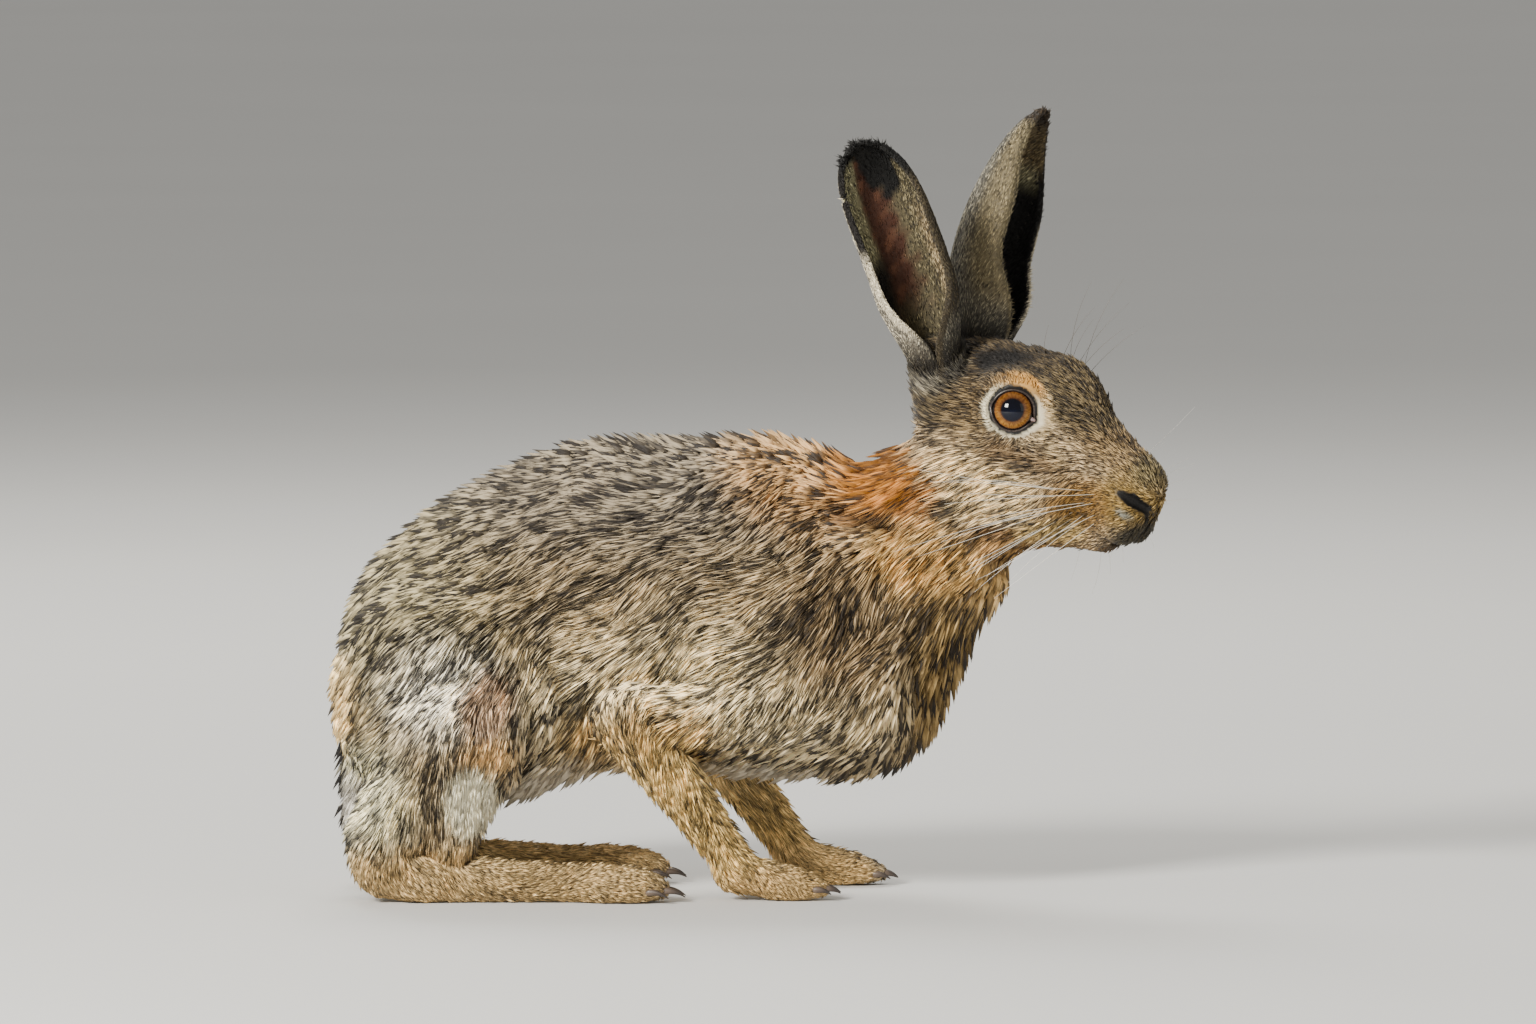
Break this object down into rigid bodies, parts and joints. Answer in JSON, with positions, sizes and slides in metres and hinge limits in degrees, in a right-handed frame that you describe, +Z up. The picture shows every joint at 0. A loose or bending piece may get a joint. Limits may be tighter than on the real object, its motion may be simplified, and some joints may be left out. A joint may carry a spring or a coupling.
{
  "type": "brown hare",
  "caption": "Adult brown hare, life size and still, crouched with arched back, head turned slightly to its right and long black-tipped ears up.",
  "frame": {"origin": "on the floor, under the centre of the bounding box", "axes": "+X forward towards the nose, +Y to the animal's left, +Z up; rows in metres"},
  "size_m": [0.3724, 0.1406, 0.3467],
  "materials": {
    "coat": "dense grizzled fur",
    "coat_rufous": "dense rufous fur",
    "coat_pale": "dense pale fur",
    "ear_coat": "short dark fur",
    "eye": "wet and glossy"
  },
  "bodies": {
    "root": {"trunk": "coat", "head": "coat", "hind_leg_right": "coat", "hind_leg_left": "coat", "neck": "coat_rufous", "tail": "coat_pale", "fore_leg_right": "coat_pale", "fore_leg_left": "coat_pale", "hind_foot_right": "coat_pale", "hind_foot_left": "coat_pale", "fore_foot_right": "coat_pale", "fore_foot_left": "coat_pale", "ear_right": "ear_coat", "ear_left": "ear_coat", "eye_right": "eye", "eye_left": "eye"}
  },
  "joints": []
}
